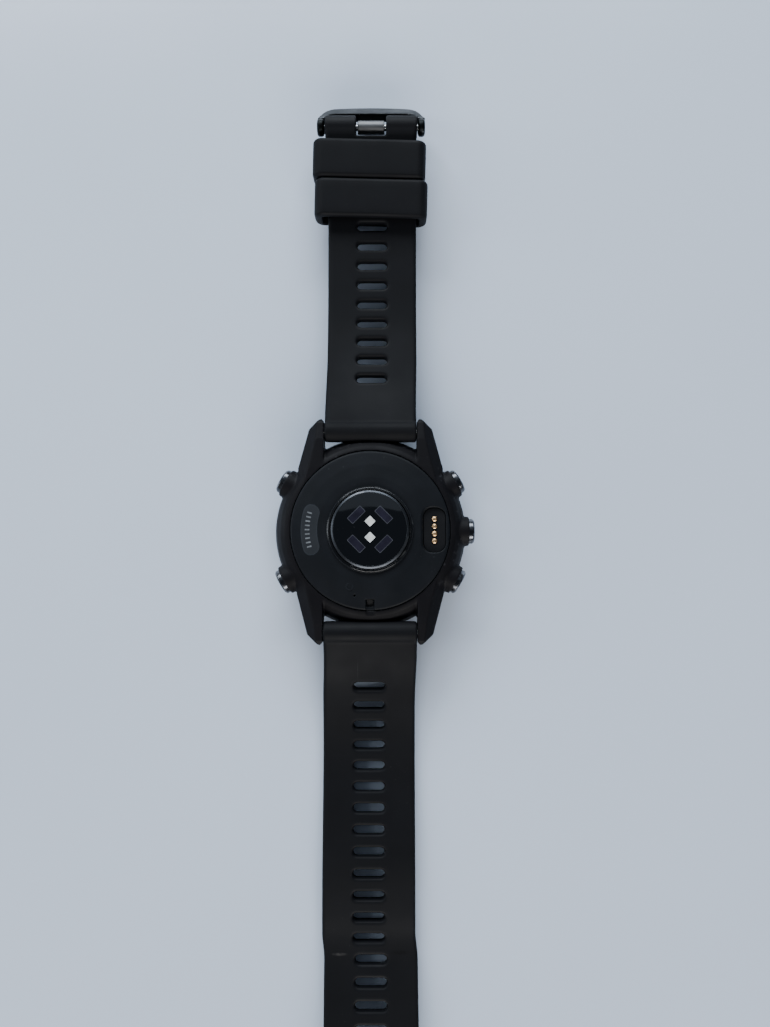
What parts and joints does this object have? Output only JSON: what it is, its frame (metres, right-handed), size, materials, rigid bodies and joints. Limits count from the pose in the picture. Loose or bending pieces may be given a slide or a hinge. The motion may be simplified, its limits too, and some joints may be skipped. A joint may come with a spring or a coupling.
{
  "type": "wrist sports computer",
  "caption": "Round wrist sports computer with side push buttons, an optical sensor and charge contacts on its back, and a slotted silicone strap with a pin buckle and keeper loops.",
  "frame": {"origin": "centre of the display glass's outer face", "axes": "+Z from the glass towards the wrist side; +Y towards the buckle half of the strap; +X towards the case side with three push buttons"},
  "size_m": [0.0482, 0.2474, 0.0144],
  "materials": {
    "case_polymer": "fine matte texture",
    "bezel_polymer": "satin",
    "cover_polymer": "fine matte texture",
    "gloss_black": "polished",
    "glass": "polished, tinted",
    "silicone": "matte",
    "dark_steel": "satin, dark coated",
    "bright_steel": "satin",
    "gold": "plated",
    "led_white": "phosphor",
    "photodiode": "polished",
    "circuit_board": "solder mask",
    "battery_foil": "foil",
    "seal": "matte",
    "display_film": "satin"
  },
  "bodies": {
    "case": {"bezel": "bezel_polymer", "lens": "glass", "sensor_window": "glass", "lens_gasket": "seal", "back_gasket": "seal", "vent_membrane": "seal", "display_panel": "display_film", "mid_case": "case_polymer", "contact_insert": "case_polymer", "back_cover": "cover_polymer", "charge_pin_1": "gold", "charge_pin_2": "gold", "charge_pin_3": "gold", "charge_pin_4": "gold", "sensor_ring": "gloss_black", "sensor_board": "circuit_board", "main_board": "circuit_board", "switch_ring": "circuit_board", "sensor_led_upper": "led_white", "sensor_led_lower": "led_white", "photodiode_1": "photodiode", "photodiode_2": "photodiode", "photodiode_3": "photodiode", "photodiode_4": "photodiode", "battery": "battery_foil", "vibration_motor": "bright_steel", "button_seal_light": "seal", "button_seal_up": "seal", "button_seal_down": "seal", "button_seal_start": "seal", "button_seal_back": "seal", "spring_bar_buckle_side": "bright_steel", "spring_bar_tail_side": "bright_steel"},
    "button_light_body": {"button_light": "dark_steel", "button_clip_light": "bright_steel"},
    "button_up_body": {"button_up": "dark_steel", "button_clip_up": "bright_steel"},
    "button_down_body": {"button_down": "dark_steel", "button_clip_down": "bright_steel"},
    "button_start_body": {"button_start": "dark_steel", "button_clip_start": "bright_steel"},
    "button_back_body": {"button_back": "dark_steel", "button_clip_back": "bright_steel"},
    "bar_tip_buckle_side_right": {"spring_bar_tip_buckle_side_right": "bright_steel"},
    "bar_tip_buckle_side_left": {"spring_bar_tip_buckle_side_left": "bright_steel"},
    "bar_tip_tail_side_right": {"spring_bar_tip_tail_side_right": "bright_steel"},
    "bar_tip_tail_side_left": {"spring_bar_tip_tail_side_left": "bright_steel"},
    "buckle_strap_root": {"strap_buckle_1": "silicone"},
    "buckle_strap_middle": {"strap_buckle_2": "silicone"},
    "buckle_strap_end": {"strap_buckle_3": "silicone", "buckle_pin": "bright_steel"},
    "outer_keeper": {"keeper_outer": "silicone"},
    "inner_keeper": {"keeper_inner": "silicone"},
    "frame_of_buckle": {"buckle_frame": "dark_steel"},
    "tongue_of_buckle": {"buckle_tongue": "bright_steel"},
    "tail_strap_root": {"strap_tail_1": "silicone"},
    "tail_strap_second": {"strap_tail_2": "silicone"},
    "tail_strap_third": {"strap_tail_3": "silicone"},
    "tail_strap_fourth": {"strap_tail_4": "silicone"},
    "tail_strap_tip": {"strap_tail_5": "silicone"}
  },
  "joints": [
    {"name": "button_light_press", "type": "slide", "parent": "case", "child": "button_light_body", "axis": [-0.866, -0.5, 0], "range_m": [0, 0.0006], "stiffness_N_per_m": 500},
    {"name": "button_up_press", "type": "slide", "parent": "case", "child": "button_up_body", "axis": [-1, 0, 0], "range_m": [0, 0.0006], "stiffness_N_per_m": 500},
    {"name": "button_down_press", "type": "slide", "parent": "case", "child": "button_down_body", "axis": [-0.866, 0.5, 0], "range_m": [0, 0.0006], "stiffness_N_per_m": 500},
    {"name": "button_start_press", "type": "slide", "parent": "case", "child": "button_start_body", "axis": [0.866, -0.5, 0], "range_m": [0, 0.0006], "stiffness_N_per_m": 500},
    {"name": "button_back_press", "type": "slide", "parent": "case", "child": "button_back_body", "axis": [0.866, 0.5, 0], "range_m": [0, 0.0006], "stiffness_N_per_m": 500},
    {"name": "bar_tip_buckle_side_right_in", "type": "slide", "parent": "case", "child": "bar_tip_buckle_side_right", "axis": [-1, 0, 0], "range_m": [0, 0.00115], "stiffness_N_per_m": 400},
    {"name": "bar_tip_buckle_side_left_in", "type": "slide", "parent": "case", "child": "bar_tip_buckle_side_left", "axis": [1, 0, 0], "range_m": [0, 0.00115], "stiffness_N_per_m": 400},
    {"name": "bar_tip_tail_side_right_in", "type": "slide", "parent": "case", "child": "bar_tip_tail_side_right", "axis": [-1, 0, 0], "range_m": [0, 0.00115], "stiffness_N_per_m": 400},
    {"name": "bar_tip_tail_side_left_in", "type": "slide", "parent": "case", "child": "bar_tip_tail_side_left", "axis": [1, 0, 0], "range_m": [0, 0.00115], "stiffness_N_per_m": 400},
    {"name": "buckle_strap_swivel", "type": "hinge", "parent": "case", "child": "buckle_strap_root", "pos_m": [0, 0.024, 0.0092], "axis": [1, 0, 0], "range_deg": [0, 68]},
    {"name": "buckle_strap_curl", "type": "hinge", "parent": "buckle_strap_root", "child": "buckle_strap_middle", "pos_m": [0, 0.04485, 0.0068], "axis": [1, 0, 0], "range_deg": [-4, 20], "stiffness_Nm_per_rad": 0.03},
    {"name": "buckle_strap_curl_end", "type": "hinge", "parent": "buckle_strap_middle", "child": "buckle_strap_end", "pos_m": [0, 0.06438, 0.00642], "axis": [1, 0, 0], "range_deg": [-4, 20], "stiffness_Nm_per_rad": 0.03},
    {"name": "tail_strap_swivel", "type": "hinge", "parent": "case", "child": "tail_strap_root", "pos_m": [0, -0.024, 0.0092], "axis": [-1, 0, 0], "range_deg": [0, 66]},
    {"name": "tail_strap_curl", "type": "hinge", "parent": "tail_strap_root", "child": "tail_strap_second", "pos_m": [0, -0.0442, 0.00387], "axis": [-1, 0, 0], "range_deg": [-4, 20], "stiffness_Nm_per_rad": 0.03},
    {"name": "tail_strap_curl_second", "type": "hinge", "parent": "tail_strap_second", "child": "tail_strap_third", "pos_m": [0, -0.06355, 0.00278], "axis": [-1, 0, 0], "range_deg": [-4, 20], "stiffness_Nm_per_rad": 0.03},
    {"name": "tail_strap_curl_third", "type": "hinge", "parent": "tail_strap_third", "child": "tail_strap_fourth", "pos_m": [0, -0.08343, 0.00376], "axis": [-1, 0, 0], "range_deg": [-4, 20], "stiffness_Nm_per_rad": 0.03},
    {"name": "tail_strap_curl_tip", "type": "hinge", "parent": "tail_strap_fourth", "child": "tail_strap_tip", "pos_m": [0, -0.10784, 0.00398], "axis": [-1, 0, 0], "range_deg": [-4, 20], "stiffness_Nm_per_rad": 0.03},
    {"name": "outer_keeper_slide", "type": "slide", "parent": "buckle_strap_end", "child": "outer_keeper", "axis": [0, 0.9931, 0.1171], "range_m": [0, 0.0012]},
    {"name": "inner_keeper_slide", "type": "slide", "parent": "buckle_strap_end", "child": "inner_keeper", "axis": [0, -0.9931, -0.1171], "range_m": [0, 0.011]},
    {"name": "buckle_frame_swing", "type": "hinge", "parent": "buckle_strap_end", "child": "frame_of_buckle", "pos_m": [0, 0.1016, 0.009], "axis": [1, 0, 0], "range_deg": [-40, 100]},
    {"name": "buckle_tongue_swing", "type": "hinge", "parent": "frame_of_buckle", "child": "tongue_of_buckle", "pos_m": [0, 0.1016, 0.009], "axis": [1, 0, 0], "range_deg": [-30, 0]}
  ],
  "couplings": [
    {"joint": "buckle_strap_curl_end", "follows": "buckle_strap_curl", "ratio": 1},
    {"joint": "tail_strap_curl_second", "follows": "tail_strap_curl", "ratio": 1},
    {"joint": "tail_strap_curl_third", "follows": "tail_strap_curl", "ratio": 1},
    {"joint": "tail_strap_curl_tip", "follows": "tail_strap_curl", "ratio": 1}
  ]
}
